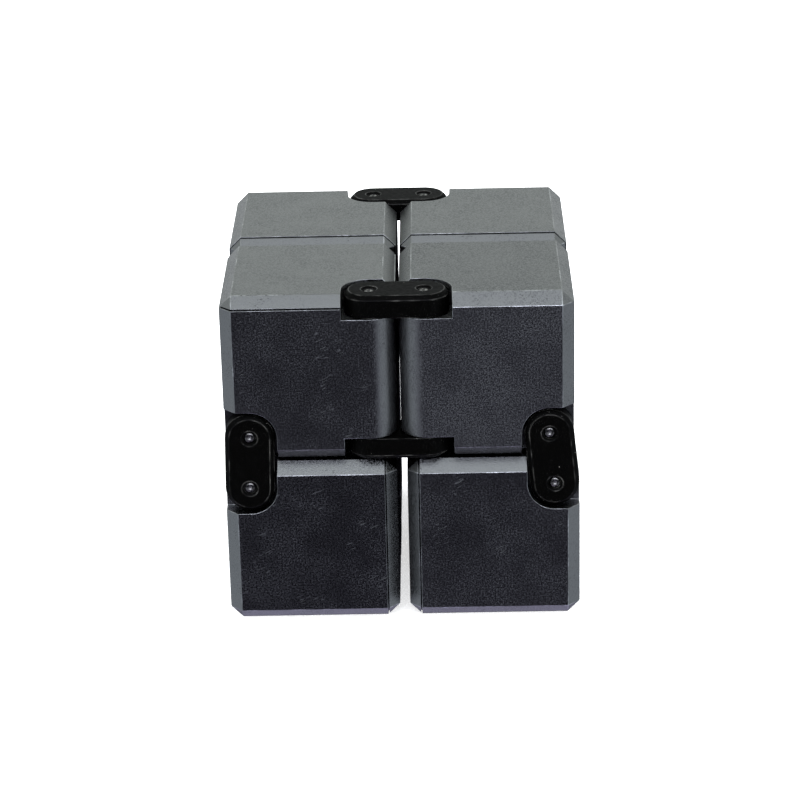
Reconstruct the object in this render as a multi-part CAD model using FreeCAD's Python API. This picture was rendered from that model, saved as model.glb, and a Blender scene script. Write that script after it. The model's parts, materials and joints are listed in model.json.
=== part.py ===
"""Folding fidget cube: eight small hollow metal cubes in one closed ring of eight double-pivot hinges.

Frame: +X right, +Y back, +Z up, millimetres.  The origin is the middle of the underside's footprint.
The object stands closed, as a large cube, with its two lower side pairs swung a little outwards
on their links.  Every cube carries two hinges, on two opposite skew edges, and every hinge has two
links, one let into each end, and two pins, one through each of its cubes.
"""
import FreeCAD, Part
import math
import os

Vector = FreeCAD.Vector

# ---- driving dimensions --------------------------------------------------------------------------
CUBE_EDGE = 19.8             # one small cube, face to face
CUBE_GAP = 0.4               # daylight between neighbouring cubes
EDGE_CHAMFER = 1.4           # on every edge that carries no hinge
WALL = 2.2                   # shell thickness of a small cube

PIN_OFFSET = 2.9             # pin axis to both faces at a hinge edge, and that edge's rounding
PIN_RADIUS = 0.6
PIN_RECESS = 0.25            # pin end below the link's outer face
PIN_END_CHAMFER = 0.18

LINK_END_RADIUS = 2.83
LINK_THICKNESS = 2.6
LINK_EDGE_CHAMFER = 0.5
LINK_BORE_PLAY = 0.05        # radial running clearance on the pin
LINK_SINK_RADIUS = 0.95      # mouth of the countersink round a pin's end
LINK_SINK_DEPTH = 0.3

POCKET_RADIUS = 3.15         # from the pin axis to the pocket's wall
POCKET_DEPTH = 2.7
COLUMN_WALL = 1.0            # metal left between a pocket and the hollow inside

COVER_THICKNESS = EDGE_CHAMFER   # the seam runs where the chamfer meets the side faces
SPIGOT_HEIGHT = 1.5          # step under the cover that locates it in the body
SPIGOT_PLAY = 0.1
SEAM_WIDTH = 0.14            # visible groove round the cover
SEAM_DEPTH = 0.15

LEFT_LEAN = 1.5              # degrees that the left pair's links lean outwards
RIGHT_LEAN = 5.5             # degrees that the right pair's links lean outwards

# ---- derived dimensions --------------------------------------------------------------------------
HALF = CUBE_EDGE / 2
PITCH = CUBE_EDGE + CUBE_GAP         # centre to centre of neighbouring cubes
LINK_PITCH = 2 * PIN_OFFSET + CUBE_GAP
HOLLOW_DEPTH = CUBE_EDGE - COVER_THICKNESS - WALL
SEAM_HEIGHT = HALF - COVER_THICKNESS     # from a cube's centre to its seam
BEYOND = 1.0                         # how far cutting tools run past the metal

LEFT, RIGHT = Vector(-1, 0, 0), Vector(1, 0, 0)
FRONT, BACK = Vector(0, -1, 0), Vector(0, 1, 0)
DOWN, UP = Vector(0, 0, -1), Vector(0, 0, 1)


def corner_box(corner, opposite):
    """Axis-aligned box between any two opposite corners."""
    low = Vector(*(min(a, b) for a, b in zip(corner, opposite)))
    high = Vector(*(max(a, b) for a, b in zip(corner, opposite)))
    size = high - low
    return Part.makeBox(size.x, size.y, size.z, low)


def along(direction):
    return Vector(abs(direction.x), abs(direction.y), abs(direction.z))


def across(direction):
    return Vector(1, 1, 1) - along(direction)


class SmallCube:
    """One small cube: its centre, the face its cover closes, and the ends of its two hinges."""

    def __init__(self, name, sides, cover):
        self.name = name
        self.cover = cover
        self.hinge_edges = []
        side, depth, height = sides
        middle = Vector(0, 0, HALF + PITCH / 2)
        self.centre = middle + (side + depth + height) * (PITCH / 2) + swing(side, height)


class HingeEdge:
    """The edge of one cube that a hinge's pin runs along."""

    def __init__(self, cube, axis, towards_mate, outwards):
        self.axis = axis
        self.towards_mate = towards_mate
        self.outwards = outwards
        self.pin_middle = cube.centre + (towards_mate + outwards) * (HALF - PIN_OFFSET)
        cube.hinge_edges.append(self)


def swing(side, height):
    """How far a lower cube stands out of line, because its links lean; nothing for an upper cube.

    All four lower cubes stand on the table, so the little extra distance between the two pins of
    a leaning link is taken up by the running play in its bores.
    """
    if height == UP:
        return Vector(0, 0, 0)
    lean = LEFT_LEAN if side == LEFT else RIGHT_LEAN
    return side * (LINK_PITCH * math.tan(math.radians(lean)))


def frame_shift():
    """Moves the whole model so that the middle of its footprint is at the origin."""
    return (swing(LEFT, DOWN) + swing(RIGHT, DOWN)) / -2


# ---- one small cube ------------------------------------------------------------------------------
def block(cube, edge):
    """The outside of a cube: hinge edges rounded about their pins, all other edges chamfered."""
    corner = Vector(edge, edge, edge) / 2
    plain = corner_box(cube.centre - corner, cube.centre + corner)
    chamfered = plain.makeChamfer(EDGE_CHAMFER, plain.Edges)
    rounded = plain.makeFillet(PIN_OFFSET, [edge_by_pin(plain, hinge) for hinge in cube.hinge_edges])
    return chamfered.common(rounded)


def edge_by_pin(solid, hinge):
    """The edge of a plain block that lies nearest to a hinge's pin."""
    return min(solid.Edges, key=lambda edge: (edge.CenterOfMass - hinge.pin_middle).Length)


def column(hinge, inset):
    """The solid metal left round a pin, from the hinge edge to just past the link pockets."""
    to_edge = (hinge.towards_mate + hinge.outwards) * (PIN_OFFSET + BEYOND)
    to_hollow = (hinge.towards_mate + hinge.outwards) * (POCKET_RADIUS + COLUMN_WALL + inset)
    half_length = hinge.axis * (HALF + BEYOND)
    return corner_box(hinge.pin_middle + to_edge + half_length,
                      hinge.pin_middle - to_hollow - half_length)


def hollow(cube, inset, depth):
    """The space between the columns, from the seam down to depth, shrunk all round by inset."""
    middle = cube.centre + cube.cover * (SEAM_HEIGHT - depth / 2)
    half_size = across(cube.cover) * (HALF - WALL - inset) + along(cube.cover) * (depth / 2)
    space = corner_box(middle - half_size, middle + half_size)
    for hinge in cube.hinge_edges:
        space = space.cut(column(hinge, inset))
    return space


def link_pocket(hinge, end):
    """The recess for one link: rounded about the pin, open to the mating face and outwards."""
    floor = hinge.pin_middle + end * (HALF - POCKET_DEPTH)
    height = POCKET_DEPTH + BEYOND
    reach = (hinge.towards_mate + hinge.outwards) * (PIN_OFFSET + BEYOND) + end * height
    pocket = Part.makeCylinder(POCKET_RADIUS, height, floor, end)
    for direction in (hinge.towards_mate, hinge.outwards):
        pocket = pocket.fuse(corner_box(floor - direction * POCKET_RADIUS, floor + reach))
    return pocket


def pin_bore(hinge):
    start = hinge.pin_middle - hinge.axis * HALF
    return Part.makeCylinder(PIN_RADIUS, CUBE_EDGE, start, hinge.axis)


def machined_block(cube):
    """The outside of a cube with its four link pockets and its two pin bores."""
    shape = block(cube, CUBE_EDGE)
    for hinge in cube.hinge_edges:
        for end in (hinge.axis, -hinge.axis):
            shape = shape.cut(link_pocket(hinge, end))
        shape = shape.cut(pin_bore(hinge))
    return shape


def cover_side(cube, start, end):
    """A slab across the whole cube, between two heights above its centre on the cover's side."""
    reach = across(cube.cover) * (HALF + BEYOND)
    return corner_box(cube.centre + cube.cover * start - reach, cube.centre + cube.cover * end + reach)


def cube_body(cube, outside):
    """The cup-shaped shell with both hinge columns, open on the cover's side."""
    below_seam = cover_side(cube, -HALF - BEYOND, SEAM_HEIGHT)
    return outside.common(below_seam).cut(hollow(cube, 0, HOLLOW_DEPTH))


def cube_cover(cube, outside):
    """The lid: a plate as thick as the chamfer, a seam groove round it and a locating step."""
    plate = outside.common(cover_side(cube, SEAM_HEIGHT, HALF + BEYOND))
    groove = cover_side(cube, SEAM_HEIGHT - BEYOND, SEAM_HEIGHT + SEAM_WIDTH)
    groove = groove.cut(block(cube, CUBE_EDGE - 2 * SEAM_DEPTH))
    return plate.cut(groove).fuse(hollow(cube, SPIGOT_PLAY, SPIGOT_HEIGHT))


# ---- links and pins ------------------------------------------------------------------------------
def obround(length):
    """A flat face with two round ends, centred on the origin; length is between the end centres."""
    near, far = Vector(-length / 2, 0, 0), Vector(length / 2, 0, 0)
    side = Vector(0, LINK_END_RADIUS, 0)
    tip = Vector(LINK_END_RADIUS, 0, 0)
    outline = [
        Part.LineSegment(near - side, far - side).toShape(),
        Part.Arc(far - side, far + tip, far + side).toShape(),
        Part.LineSegment(far + side, near + side).toShape(),
        Part.Arc(near + side, near - tip, near - side).toShape(),
    ]
    return Part.Face(Part.Wire(outline))


def link_blank():
    """One link lying flat, outer face up, with its bores and countersinks."""
    plate = obround(LINK_PITCH).extrude(UP * LINK_THICKNESS)
    rim = [edge for edge in plate.Edges if abs(edge.CenterOfMass.z - LINK_THICKNESS) < 1e-6]
    plate = plate.makeChamfer(LINK_EDGE_CHAMFER, rim)
    for place in (-LINK_PITCH / 2, LINK_PITCH / 2):
        foot = Vector(place, 0, 0)
        bore_radius = PIN_RADIUS + LINK_BORE_PLAY
        plate = plate.cut(Part.makeCylinder(bore_radius, LINK_THICKNESS, foot))
        sink = Part.makeCone(bore_radius, LINK_SINK_RADIUS, LINK_SINK_DEPTH,
                             foot + UP * (LINK_THICKNESS - LINK_SINK_DEPTH))
        plate = plate.cut(sink)
    return plate


def placed_link(hinge_pair, end):
    """A link let into one end of a hinge, its outer face flush with the cubes' faces."""
    first, second = (hinge.pin_middle for hinge in hinge_pair)
    lengthways = (second - first).normalize()
    turn = FreeCAD.Rotation(lengthways, Vector(), end, "ZXY")
    middle = (first + second) / 2 + end * (HALF - LINK_THICKNESS)
    link = link_blank()
    link.Placement = FreeCAD.Placement(middle, turn)
    return link


def pin(hinge):
    """A straight pin through one cube and the two links at its ends, both ends chamfered."""
    length = CUBE_EDGE - 2 * PIN_RECESS
    start = hinge.pin_middle - hinge.axis * (length / 2)
    rod = Part.makeCylinder(PIN_RADIUS, length, start, hinge.axis)
    rims = [edge for edge in rod.Edges if len(edge.Vertexes) == 1]
    return rod.makeChamfer(PIN_END_CHAMFER, rims)


# ---- the whole ring ------------------------------------------------------------------------------
def all_cubes():
    """Eight cubes; each cover is on a face with one link end and no hinge edge."""
    places = {
        "upper_front_left": ((LEFT, FRONT, UP), UP),
        "upper_front_right": ((RIGHT, FRONT, UP), BACK),
        "upper_back_left": ((LEFT, BACK, UP), FRONT),
        "upper_back_right": ((RIGHT, BACK, UP), FRONT),
        "lower_front_left": ((LEFT, FRONT, DOWN), RIGHT),
        "lower_front_right": ((RIGHT, FRONT, DOWN), LEFT),
        "lower_back_left": ((LEFT, BACK, DOWN), RIGHT),
        "lower_back_right": ((RIGHT, BACK, DOWN), LEFT),
    }
    return {name: SmallCube(name, sides, cover) for name, (sides, cover) in places.items()}


def all_hinges(cubes):
    """Eight hinges, in the order of the ring: name, the two edges they join and the two ends' names."""
    rows = [
        ("front", "upper_front_left", "upper_front_right", UP, RIGHT, FRONT, ("upper", "lower")),
        ("right_front", "upper_front_right", "lower_front_right", FRONT, DOWN, RIGHT, ("outer", "inner")),
        ("base_right", "lower_front_right", "lower_back_right", RIGHT, BACK, DOWN, ("outer", "inner")),
        ("right_back", "upper_back_right", "lower_back_right", BACK, DOWN, RIGHT, ("outer", "inner")),
        ("back", "upper_back_left", "upper_back_right", UP, RIGHT, BACK, ("upper", "lower")),
        ("left_back", "upper_back_left", "lower_back_left", BACK, DOWN, LEFT, ("outer", "inner")),
        ("base_left", "lower_front_left", "lower_back_left", LEFT, BACK, DOWN, ("outer", "inner")),
        ("left_front", "upper_front_left", "lower_front_left", FRONT, DOWN, LEFT, ("outer", "inner")),
    ]
    hinges = {}
    for name, first, second, axis, mate, outwards, ends in rows:
        pair = (HingeEdge(cubes[first], axis, mate, outwards),
                HingeEdge(cubes[second], axis, -mate, outwards))
        hinges[name] = (pair, (first, second), ends)
    return hinges


def all_pieces():
    """Every piece of the object, by the name of its node."""
    cubes = all_cubes()
    hinges = all_hinges(cubes)
    pieces = {}
    for name, cube in cubes.items():
        outside = machined_block(cube)
        pieces[f"{name}_body"] = cube_body(cube, outside)
        pieces[f"{name}_cover"] = cube_cover(cube, outside)
    for name, (pair, cube_names, ends) in hinges.items():
        for end_name, end in zip(ends, (pair[0].axis, -pair[0].axis)):
            pieces[f"{name}_link_{end_name}"] = placed_link(pair, end)
        for hinge, cube_name in zip(pair, cube_names):
            pieces[f"{name}_pin_in_{cube_name}"] = pin(hinge)
    return pieces


def main():
    os.makedirs("parts", exist_ok=True)
    shift = frame_shift()
    for name, shape in all_pieces().items():
        shape.translate(shift)
        shape.exportStep(f"parts/{name}.step")
        print(f"{name}: {len(shape.Solids)} solid, {shape.Volume:.1f} mm3, valid {shape.isValid()}")


main()
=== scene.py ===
"""Looks of the folding fidget cube: bead-blasted gunmetal cubes, black coated links, turned steel pins."""
import json
import math

import bmesh
import bpy
from mathutils import Matrix, Vector

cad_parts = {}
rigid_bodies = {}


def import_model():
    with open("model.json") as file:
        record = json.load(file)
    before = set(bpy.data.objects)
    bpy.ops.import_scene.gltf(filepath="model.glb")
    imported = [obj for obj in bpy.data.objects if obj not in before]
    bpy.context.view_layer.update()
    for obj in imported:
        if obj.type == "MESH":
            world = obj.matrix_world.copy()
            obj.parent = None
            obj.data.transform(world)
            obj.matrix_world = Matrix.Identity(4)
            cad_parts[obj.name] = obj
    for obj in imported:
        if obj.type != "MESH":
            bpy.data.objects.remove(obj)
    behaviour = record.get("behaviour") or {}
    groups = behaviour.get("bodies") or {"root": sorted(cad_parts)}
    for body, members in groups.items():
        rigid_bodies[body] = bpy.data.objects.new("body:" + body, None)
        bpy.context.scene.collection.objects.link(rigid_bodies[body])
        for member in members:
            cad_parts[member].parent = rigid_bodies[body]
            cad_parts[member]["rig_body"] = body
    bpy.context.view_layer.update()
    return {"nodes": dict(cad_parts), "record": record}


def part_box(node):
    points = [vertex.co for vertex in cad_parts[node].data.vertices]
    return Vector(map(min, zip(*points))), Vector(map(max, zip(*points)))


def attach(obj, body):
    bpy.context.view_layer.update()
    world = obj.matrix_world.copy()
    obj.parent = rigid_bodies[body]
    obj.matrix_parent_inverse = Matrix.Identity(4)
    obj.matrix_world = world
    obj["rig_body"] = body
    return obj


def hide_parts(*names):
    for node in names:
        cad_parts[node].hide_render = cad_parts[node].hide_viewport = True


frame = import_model()

MM = 0.001

# ---- camera: a long lens, a little above the object, turned very slightly about its own axis ------
CAMERA_TARGET = Vector((-0.355, 0.0, 19.53)) * MM
CAMERA_AZIMUTH = math.radians(-0.9)
CAMERA_ELEVATION = math.radians(22.06)
CAMERA_ROLL = math.radians(-1.36)
CAMERA_DISTANCE = 358.4 * MM
CAMERA_LENS = 133.9
CAMERA_NEAR_LIMIT = 10 * MM
SENSOR_WIDTH = 36.0

# ---- shapes -----------------------------------------------------------------------------------------
SHELL_EDGE_BREAK = 0.07 * MM
LINK_EDGE_BREAK = 0.08 * MM
EDGE_BREAK_STEPS = 2
SHARP_ANGLE = math.radians(30)
FLAT_ANGLE = math.radians(0.5)       # neighbouring triangles closer than this are one flat face
SAME_CORNER = 0.0005 * MM
FLAT_FACE_WEIGHT = 90                # how far the flat faces rule the shading over the broken edges

PIN_DIMPLE = ((0.0, 0.13), (0.10, 0.11), (0.20, 0.04), (0.26, 0.0))   # out from the axis, below the end
PIN_RIM = ((0.17, 0.0), (0.06, 0.05), (0.0, 0.17))                     # in from the side, below the end
PIN_STEPS = 32

FLOOR_RADIUS = 1.2                   # the floor is in metres
FLOOR_CURVE_RADIUS = 0.4
FLOOR_CURVE_STEPS = 8
FLOOR_WALL_TOP = 2.0
FLOOR_STEPS = 64

# ---- finishes: colours, then millimetres ------------------------------------------------------------
GUNMETAL = (0.198, 0.202, 0.203)
BARE_ALUMINIUM = (0.86, 0.88, 0.90)
# painted shade: the near black that grooves and corners are darkened to
CREVICE_SHADE = (0.012, 0.012, 0.013)
COAT_BLACK = (0.0008, 0.0008, 0.0008)
COAT_WORN = (0.030, 0.030, 0.029)
DUST = (0.33, 0.32, 0.30)
STEEL = (0.50, 0.49, 0.47)
STEEL_DARK = (0.05, 0.05, 0.05)
FLOOR_WHITE = (0.86, 0.86, 0.86)

PIT_SIZE = 0.18
PIT_DEPTH = 0.006
GRAIN_SIZE = 0.15
GRAIN_DEPTH = 0.008
# painted shade: grooves and corners narrower than this reach are darkened
CREVICE_SHADE_REACH = 0.30
SCRATCH_WIDTH = 0.13
SCRATCH_STRETCH = (1, 1, 28)         # how many times longer than wide
SCRATCH_TURN = (0.2, 1.15, 0.1)
SCRATCH_ROUGHNESS = 0.85
COAT_SHEEN = 0.025                   # the coat mirrors next to nothing
RUBBED_SHEEN = 0.08
TURNING_PITCH = 0.09

# each cube's tone, its roughness between the blasted pits and its roughness in them
CUBE_FINISHES = {
    "upper_front_left": (0.97, 0.30, 0.68),
    "upper_front_right": (0.99, 0.36, 0.90),
    "upper_back_left": (0.96, 0.30, 0.68),
    "upper_back_right": (0.96, 0.30, 0.72),
    "lower_front_left": (0.98, 0.25, 0.62),
    "lower_front_right": (0.98, 0.28, 0.68),
    "lower_back_left": (1.00, 0.30, 0.68),
    "lower_back_right": (1.00, 0.30, 0.72),
}

# ---- studio ------------------------------------------------------------------------------------------
SOFT_BOX_SIZE = 1.2
SOFT_BOX_POWER = 6.5
SOFT_BOX_PLACE = (0, -0.1, 1.0)
TABLE_GLOW = 0.62
SKY_TILT = 0.4
BACK_LIGHT = 0.86
FRONT_SKY_LIGHT = 2.45
WINDOW_LIGHT = 3.6
TABLE_LIGHT = 0.55
SIDE_LIGHT = 0.68
LOW_FRONT_LIGHT = 0.02
SKY_TINT = (0.94, 1.0, 0.985)
FRONT_SKY_TINT = (0.93, 0.98, 1.09)
SIDE_TINT = (0.92, 1.0, 1.10)
LOW_FRONT_TINT = (1.05, 1.0, 1.40)


# ---- node helpers ------------------------------------------------------------------------------------
class Graph:
    """The nodes of a material or of the world, and the few kinds of step that are taken with them."""

    def __init__(self, tree):
        self.nodes = tree.nodes
        self.links = tree.links

    def plug(self, socket, value):
        """A number or a colour is set on the socket itself; anything else is linked to it."""
        if isinstance(value, tuple):
            socket.default_value = (*value, 1)
        elif isinstance(value, (int, float)):
            socket.default_value = value
        else:
            self.links.new(value, socket)

    def maths(self, operation, *values):
        node = self.nodes.new("ShaderNodeMath")
        node.operation = operation
        for socket, value in zip(node.inputs, values):
            self.plug(socket, value)
        return node.outputs["Value"]

    def span(self, value, low, high, to_low=0.0, to_high=1.0, eased=False):
        """value's stretch from low to high, carried to the stretch from to_low to to_high."""
        span = self.nodes.new("ShaderNodeMapRange")
        if eased:
            span.interpolation_type = "SMOOTHSTEP"
        sockets = ("Value", "From Min", "From Max", "To Min", "To Max")
        for socket, given in zip(sockets, (value, low, high, to_low, to_high)):
            self.plug(span.inputs[socket], given)
        return span.outputs["Result"]

    def mixed(self, share, first, second):
        """A colour from first, where share is 0, to second, where it is 1."""
        mix = self.nodes.new("ShaderNodeMix")
        mix.data_type = "RGBA"
        self.plug(mix.inputs["Factor"], share)
        colours = [socket for socket in mix.inputs if socket.type == "RGBA"]
        self.plug(colours[0], first)
        self.plug(colours[1], second)
        return next(socket for socket in mix.outputs if socket.type == "RGBA")


class Finish(Graph):
    """A material under construction: its nodes, its shader and the point on the surface."""

    def __init__(self, name):
        self.material = bpy.data.materials.new(name)
        self.material.use_nodes = True
        super().__init__(self.material.node_tree)
        self.shader = self.nodes["Principled BSDF"]
        self.place = self.nodes.new("ShaderNodeTexCoord").outputs["Object"]

    def feed(self, socket, value):
        self.plug(self.shader.inputs[socket], value)

    def noise(self, feature, detail=2.0, stretch=(1, 1, 1), turn=(0, 0, 0), offset=0.0):
        """Smooth noise from 0 to 1 whose blobs are about feature millimetres across, times stretch."""
        moved = self.nodes.new("ShaderNodeMapping")
        moved.vector_type = "TEXTURE"
        moved.inputs["Scale"].default_value = stretch
        moved.inputs["Rotation"].default_value = turn
        moved.inputs["Location"].default_value = (offset, offset, offset)
        self.links.new(self.place, moved.inputs["Vector"])
        noise = self.nodes.new("ShaderNodeTexNoise")
        noise.inputs["Scale"].default_value = 1 / (feature * MM)
        noise.inputs["Detail"].default_value = detail
        self.links.new(moved.outputs["Vector"], noise.inputs["Vector"])
        return noise.outputs["Fac"]

    def cells(self, size):
        """Distance from the nearest of many scattered points, about size millimetres apart."""
        cells = self.nodes.new("ShaderNodeTexVoronoi")
        cells.inputs["Scale"].default_value = 1 / (size * MM)
        self.links.new(self.place, cells.inputs["Vector"])
        return cells.outputs["Distance"]

    def crevice(self, reach):
        """1 in the open, towards 0 in corners and grooves narrower than reach millimetres."""
        closeness = self.nodes.new("ShaderNodeAmbientOcclusion")
        closeness.samples = 4
        closeness.inputs["Distance"].default_value = reach * MM
        return closeness.outputs["AO"]

    def bump(self, height, depth, under=None):
        """Relief that is depth millimetres high where height is 1, on top of an earlier relief."""
        bump = self.nodes.new("ShaderNodeBump")
        bump.inputs["Distance"].default_value = depth * MM
        self.links.new(height, bump.inputs["Height"])
        if under is not None:
            self.links.new(under, bump.inputs["Normal"])
        return bump.outputs["Normal"]


def scaled(colour, factor):
    return tuple(min(1.0, part * factor) for part in colour)


# ---- materials ---------------------------------------------------------------------------------------
def blasted_colour(finish, tone, grain):
    """Anodised grey, a little uneven, with painted shade in its grooves and corners."""
    clouds = finish.noise(9.0, detail=3.0, offset=1.9)
    ground = finish.mixed(finish.span(grain, 0.35, 0.65),
                          scaled(GUNMETAL, tone * 0.97), scaled(GUNMETAL, tone * 1.03))
    clouded = finish.mixed(finish.span(clouds, 0.3, 0.7, 0.0, 0.25), ground, scaled(GUNMETAL, tone * 1.1))
    # painted shade: near black in grooves and corners, found by ambient occlusion
    return finish.mixed(finish.span(finish.crevice(CREVICE_SHADE_REACH), 0.25, 0.60), CREVICE_SHADE, clouded)


def hairline_scratches(finish):
    """1 on a few long thin scratches, all about one way, 0 elsewhere."""
    lines = finish.noise(SCRATCH_WIDTH, detail=0.0, stretch=SCRATCH_STRETCH, turn=SCRATCH_TURN, offset=3.1)
    zones = finish.noise(3.0, detail=1.0, offset=5.3)
    return finish.maths("MULTIPLY", finish.span(lines, 0.68, 0.72), finish.span(zones, 0.59, 0.67))


def gunmetal(name, tone, smooth, rough):
    """Bead-blasted, anodised aluminium.  Its pits scatter more than the ground between them, so they
    show as pale speckle where the face mirrors something dark, and so do its hairline scratches."""
    finish = Finish(name)
    pits = finish.noise(PIT_SIZE, detail=2.0, offset=0.7)
    grain = finish.noise(GRAIN_SIZE, detail=2.0)
    patches = finish.noise(4.5, detail=2.0, offset=8.9)
    finish.feed("Base Color", blasted_colour(finish, tone, grain))
    coarseness = finish.span(patches, 0.35, 0.65, 0.7, 1.3)
    coarse = finish.maths("MULTIPLY", finish.span(pits, 0.42, 0.78), coarseness)
    blasted = finish.span(coarse, 0.0, 1.0, smooth, rough)
    scratched = finish.maths("MULTIPLY", hairline_scratches(finish), SCRATCH_ROUGHNESS)
    finish.feed("Roughness", finish.maths("MAXIMUM", blasted, scratched))
    finish.feed("Normal", finish.bump(pits, PIT_DEPTH, under=finish.bump(grain, GRAIN_DEPTH)))
    finish.feed("Metallic", 1.0)
    return finish.material


def worn_edge(name, tone):
    """The broken edges of a shell, where handling has taken the anodising off in places."""
    finish = Finish(name)
    rubbed = finish.noise(2.6, detail=3.0, offset=2.3)
    nicks = finish.noise(0.5, detail=2.0, offset=4.1)
    worn = finish.maths("MULTIPLY", finish.span(rubbed, 0.42, 0.66), finish.span(nicks, 0.35, 0.60))
    edge = finish.mixed(finish.maths("MULTIPLY", worn, 0.55), scaled(GUNMETAL, tone), BARE_ALUMINIUM)
    # painted shade: the edge colour darkens to near black in grooves and corners, found by ambient occlusion
    open_air = finish.span(finish.crevice(CREVICE_SHADE_REACH), 0.20, 0.50)
    finish.feed("Base Color", finish.mixed(open_air, CREVICE_SHADE, edge))
    finish.feed("Roughness", finish.span(nicks, 0.3, 0.7, 0.26, 0.42))
    finish.feed("Normal", finish.bump(nicks, 0.01))
    finish.feed("Metallic", 1.0)
    return finish.material


def black_coat():
    """Black coated steel: satin, slightly orange-peeled, with a little dust and lint caught on it."""
    finish = Finish("black_coat")
    peel = finish.noise(0.5, detail=2.0)
    grain = finish.noise(0.12, detail=2.0, offset=1.3)
    specks = finish.span(finish.cells(0.9), 0.055, 0.035)
    patches = finish.span(finish.noise(2.2, detail=2.0, offset=6.1), 0.50, 0.62)
    dusty = finish.maths("MULTIPLY", specks, patches)
    ground = finish.mixed(finish.span(grain, 0.35, 0.65), scaled(COAT_BLACK, 0.75), scaled(COAT_BLACK, 1.5))
    finish.feed("Base Color", finish.mixed(dusty, ground, DUST))
    finish.feed("Roughness", finish.span(peel, 0.3, 0.7, 0.40, 0.52))
    finish.feed("Normal", finish.bump(peel, 0.015, under=finish.bump(grain, 0.006)))
    finish.feed("Specular IOR Level", COAT_SHEEN)
    return finish.material


def rubbed_coat():
    """The links' edges, rubbed to dark grey here and there."""
    finish = Finish("rubbed_coat")
    rubbed = finish.noise(1.4, detail=3.0, offset=3.3)
    finish.feed("Base Color", finish.mixed(finish.span(rubbed, 0.42, 0.68), COAT_BLACK, COAT_WORN))
    finish.feed("Roughness", finish.span(rubbed, 0.3, 0.7, 0.45, 0.33))
    finish.feed("Normal", finish.bump(finish.noise(0.2), 0.006))
    finish.feed("Specular IOR Level", RUBBED_SHEEN)
    return finish.material


def turning_rings(finish):
    """Fine rings about the pin's axis, as the lathe left them, from 0 to 1."""
    parts = finish.nodes.new("ShaderNodeSeparateXYZ")
    finish.links.new(finish.place, parts.inputs["Vector"])
    squares = [finish.maths("MULTIPLY", parts.outputs[axis], parts.outputs[axis]) for axis in "XY"]
    radius = finish.maths("SQRT", finish.maths("ADD", *squares))
    waves = finish.maths("SINE", finish.maths("MULTIPLY", radius, 2 * math.pi / (TURNING_PITCH * MM)))
    return finish.span(waves, -1.0, 1.0)


def turned_steel():
    """Bare steel pin, a little stained here and there."""
    finish = Finish("turned_steel")
    rings = turning_rings(finish)
    stain = finish.noise(0.4, detail=2.0)
    finish.feed("Base Color", finish.mixed(finish.span(stain, 0.35, 0.60), STEEL, STEEL_DARK))
    finish.feed("Roughness", finish.span(stain, 0.3, 0.7, 0.24, 0.40))
    finish.feed("Normal", finish.bump(rings, 0.006))
    finish.feed("Metallic", 1.0)
    return finish.material


def studio_floor():
    """Plain pale paper, lit from within, so that it stays pale under the object too."""
    finish = Finish("studio_floor")
    mottle = finish.noise(60.0, detail=2.0)
    finish.feed("Base Color", finish.mixed(mottle, scaled(FLOOR_WHITE, 0.995), FLOOR_WHITE))
    finish.feed("Roughness", 0.7)
    finish.feed("Emission Color", (1.0, 1.0, 1.0))
    finish.feed("Emission Strength", TABLE_GLOW)
    return finish.material


# ---- pieces ------------------------------------------------------------------------------------------
def joined_copy(node, name):
    """A copy of a CAD node's mesh with its loose corners joined and its flat faces made whole."""
    mesh = node.data.copy()
    mesh.name = name
    mesh.materials.clear()
    shape = bmesh.new()
    shape.from_mesh(mesh)
    bmesh.ops.remove_doubles(shape, verts=shape.verts, dist=SAME_CORNER)
    bmesh.ops.dissolve_limit(shape, angle_limit=FLAT_ANGLE, verts=shape.verts, edges=shape.edges)
    for face in shape.faces:
        face.smooth = True
        face.material_index = 0
    shape.to_mesh(mesh)
    shape.free()
    return mesh


def break_edges(piece, width):
    """Sharp edges become narrow faces in the piece's second material; the flat faces stay evenly shaded."""
    bevel = piece.modifiers.new("edge_break", "BEVEL")
    bevel.width = width
    bevel.segments = EDGE_BREAK_STEPS
    bevel.limit_method = "ANGLE"
    bevel.angle_limit = SHARP_ANGLE
    bevel.use_clamp_overlap = False
    bevel.material = 1
    level = piece.modifiers.new("level_shading", "WEIGHTED_NORMAL")
    level.mode = "FACE_AREA"
    level.weight = FLAT_FACE_WEIGHT


def stand_in(node_name, suffix, mesh, place=Matrix()):
    """A new piece that replaces a CAD node and moves with its body."""
    piece = bpy.data.objects.new(f"{node_name}_{suffix}", mesh)
    bpy.context.scene.collection.objects.link(piece)
    piece.matrix_world = place
    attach(piece, frame["nodes"][node_name]["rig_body"])
    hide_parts(node_name)
    return piece


def edge_broken(node_name, materials, width):
    """A CAD node with its sharp edges broken; materials are the faces' and the broken edges'."""
    mesh = joined_copy(frame["nodes"][node_name], f"{node_name}_finished")
    for material in materials:
        mesh.materials.append(material)
    break_edges(stand_in(node_name, "finished", mesh), width)


def pin_profile(length, radius):
    """Radius and height of each ring of a pin, from its top end down: dimpled centres, broken rims."""
    half = length / 2
    upper = [(out * MM, half - below * MM) for out, below in PIN_DIMPLE]
    upper += [(radius - inwards * MM, half - below * MM) for inwards, below in PIN_RIM]
    return upper + [(across, -up) for across, up in reversed(upper)]


def ring_corners(across, up, steps):
    """Corners of one level ring; a ring without width is a single corner."""
    if across == 0.0:
        return [(0.0, 0.0, up)]
    turns = [2 * math.pi * step / steps for step in range(steps)]
    return [(across * math.cos(turn), across * math.sin(turn), up) for turn in turns]


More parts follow.
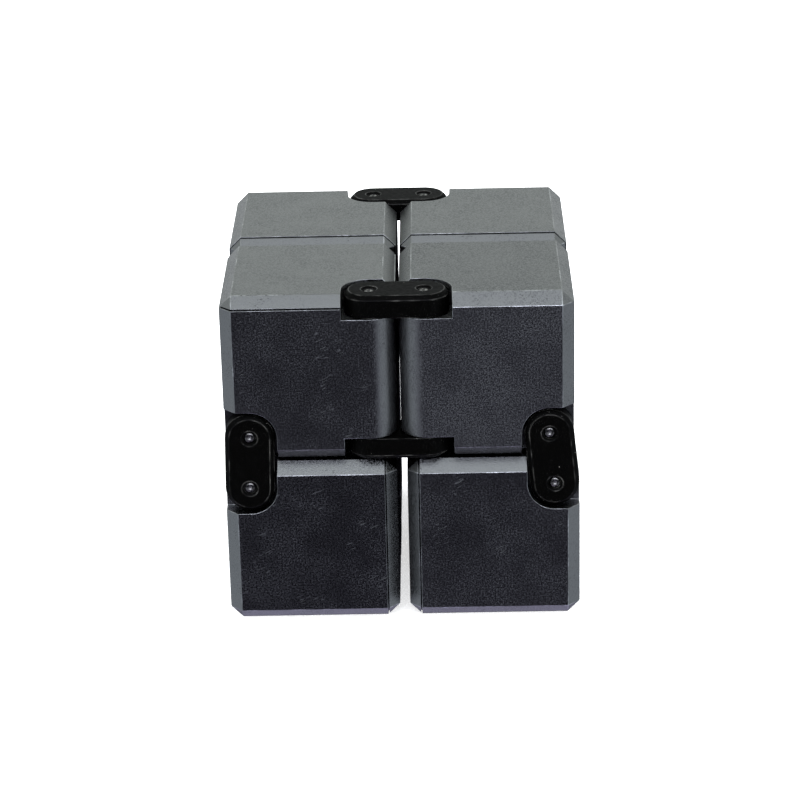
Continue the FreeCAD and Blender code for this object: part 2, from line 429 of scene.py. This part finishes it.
def turned_mesh(name, profile, steps):
    """A solid or a sheet of revolution about Z through the profile's rings."""
    shape = bmesh.new()
    rings = []
    for across, up in profile:
        rings.append([shape.verts.new(corner) for corner in ring_corners(across, up, steps)])
    for upper, lower in zip(rings, rings[1:]):
        for step in range(steps):
            after = (step + 1) % steps
            if len(upper) == 1:
                corners = (upper[0], lower[step], lower[after])
            elif len(lower) == 1:
                corners = (upper[step], lower[0], upper[after])
            else:
                corners = (upper[step], lower[step], lower[after], upper[after])
            shape.faces.new(corners).smooth = True
    mesh = bpy.data.meshes.new(name)
    shape.to_mesh(mesh)
    shape.free()
    return mesh


def place_pin(node_name, mesh):
    """A turned pin where the CAD's plain one is, along the same axis."""
    low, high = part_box(node_name)
    size = high - low
    axis = Vector([1.0 if part == max(size) else 0.0 for part in size])
    along_axis = axis.to_track_quat("Z", "Y").to_matrix().to_4x4()
    stand_in(node_name, "turned", mesh, Matrix.Translation((low + high) / 2) @ along_axis)


def all_pieces():
    """A finished piece for every CAD node."""
    shells = {cube: (gunmetal(f"gunmetal_{cube}", tone, smooth, rough), worn_edge(f"worn_edge_{cube}", tone))
              for cube, (tone, smooth, rough) in CUBE_FINISHES.items()}
    links = (black_coat(), rubbed_coat())
    slots = {row["node"]: row["material_slot"] for row in frame["record"]["subparts"]}
    pins = [name for name, slot in slots.items() if slot == "pin"]
    low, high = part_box(pins[0])
    pin = turned_mesh("pin", pin_profile(max(high - low), min(high - low) / 2), PIN_STEPS)
    pin.materials.append(turned_steel())
    for name, slot in slots.items():
        if slot == "pin":
            place_pin(name, pin)
        elif slot == "link":
            edge_broken(name, links, LINK_EDGE_BREAK)
        else:
            cube = name.rsplit("_", 1)[0]
            edge_broken(name, shells[cube], SHELL_EDGE_BREAK)


# ---- stage -------------------------------------------------------------------------------------------
def make_camera():
    direction = Vector((-math.sin(CAMERA_AZIMUTH) * math.cos(CAMERA_ELEVATION),
                        -math.cos(CAMERA_AZIMUTH) * math.cos(CAMERA_ELEVATION),
                        math.sin(CAMERA_ELEVATION)))
    level = (-direction).cross(Vector((0, 0, 1))).normalized()
    upright = level.cross(-direction)
    right = level * math.cos(CAMERA_ROLL) + upright * math.sin(CAMERA_ROLL)
    up = upright * math.cos(CAMERA_ROLL) - level * math.sin(CAMERA_ROLL)
    data = bpy.data.cameras.new("camera")
    data.lens = CAMERA_LENS
    data.sensor_width = SENSOR_WIDTH
    data.clip_start = CAMERA_NEAR_LIMIT
    camera = bpy.data.objects.new("camera", data)
    bpy.context.scene.collection.objects.link(camera)
    turn = Matrix((right, up, direction)).transposed().to_4x4()
    camera.matrix_world = Matrix.Translation(CAMERA_TARGET + direction * CAMERA_DISTANCE) @ turn
    bpy.context.scene.camera = camera


def floor_profile():
    """From the middle of the floor, out and round the curve, to the wall's top."""
    turns = [math.pi / 2 * step / FLOOR_CURVE_STEPS for step in range(FLOOR_CURVE_STEPS + 1)]
    curve = [(FLOOR_RADIUS + FLOOR_CURVE_RADIUS * math.sin(turn),
              FLOOR_CURVE_RADIUS * (1 - math.cos(turn))) for turn in turns]
    return [(0.0, 0.0), *curve, (FLOOR_RADIUS + FLOOR_CURVE_RADIUS, FLOOR_WALL_TOP)]


def make_floor():
    """A flat floor whose far rim curves up into a low wall, so every view has a plain ground."""
    mesh = turned_mesh("floor", floor_profile(), FLOOR_STEPS)
    mesh.materials.append(studio_floor())
    floor = bpy.data.objects.new("floor", mesh)
    bpy.context.scene.collection.objects.link(floor)
    floor.visible_glossy = False


def make_lights():
    """One wide soft box overhead for the floor and the coated links; the metal mirrors only the studio."""
    data = bpy.data.lights.new("soft_box", "AREA")
    data.shape = "DISK"
    data.size = SOFT_BOX_SIZE
    data.energy = SOFT_BOX_POWER
    light = bpy.data.objects.new("soft_box", data)
    light.location = SOFT_BOX_PLACE
    light.visible_glossy = False
    bpy.context.scene.collection.objects.link(light)


def make_world():
    """The studio that the metal mirrors: bright above and behind, with a window low in the front sky,
    half bright at the sides, dark low in front, and a glow from the table below."""
    world = bpy.data.worlds.new("studio")
    world.use_nodes = True
    bpy.context.scene.world = world
    studio = Graph(world.node_tree)
    parts = studio.nodes.new("ShaderNodeSeparateXYZ")
    direction = studio.nodes.new("ShaderNodeTexCoord").outputs["Generated"]
    studio.links.new(direction, parts.inputs["Vector"])
    right, back, up = (parts.outputs[axis] for axis in "XYZ")
    raised = studio.maths("ADD", up, studio.maths("MULTIPLY", back, SKY_TILT))

    side_share = studio.span(studio.maths("MULTIPLY", right, right), 0.05, 0.45, eased=True)
    sides = studio.span(side_share, 0.0, 1.0, LOW_FRONT_LIGHT, SIDE_LIGHT, eased=True)
    sky_share = studio.span(raised, 0.0, 0.42, eased=True)
    sky = studio.span(back, -0.70, -0.15, FRONT_SKY_LIGHT, BACK_LIGHT, eased=True)
    above_sill = studio.span(raised, 0.10, 0.22, eased=True)
    below_lintel = studio.span(raised, 0.34, 0.50, 1.0, 0.0, eased=True)
    in_front = studio.span(back, -0.75, -0.55, WINDOW_LIGHT, 0.0, eased=True)
    window = studio.maths("MULTIPLY", studio.maths("MULTIPLY", above_sill, below_lintel), in_front)
    table = studio.span(up, -0.85, -0.60, TABLE_LIGHT, 0.0, eased=True)

    below_sky = studio.maths("MULTIPLY", studio.maths("SUBTRACT", 1.0, sky_share), sides)
    low = studio.maths("ADD", below_sky, table)
    high = studio.maths("ADD", studio.maths("MULTIPLY", sky_share, sky), window)
    low_tint = studio.mixed(side_share, LOW_FRONT_TINT, SIDE_TINT)
    front_share = studio.span(back, -0.70, -0.15, 1.0, 0.0, eased=True)
    high_tint = studio.mixed(front_share, SKY_TINT, FRONT_SKY_TINT)
    background = studio.nodes["Background"]
    studio.plug(background.inputs["Strength"], studio.maths("ADD", low, high))
    studio.plug(background.inputs["Color"], studio.mixed(sky_share, low_tint, high_tint))


bpy.context.scene.view_settings.view_transform = "Standard"
all_pieces()
make_camera()
make_floor()
make_lights()
make_world()
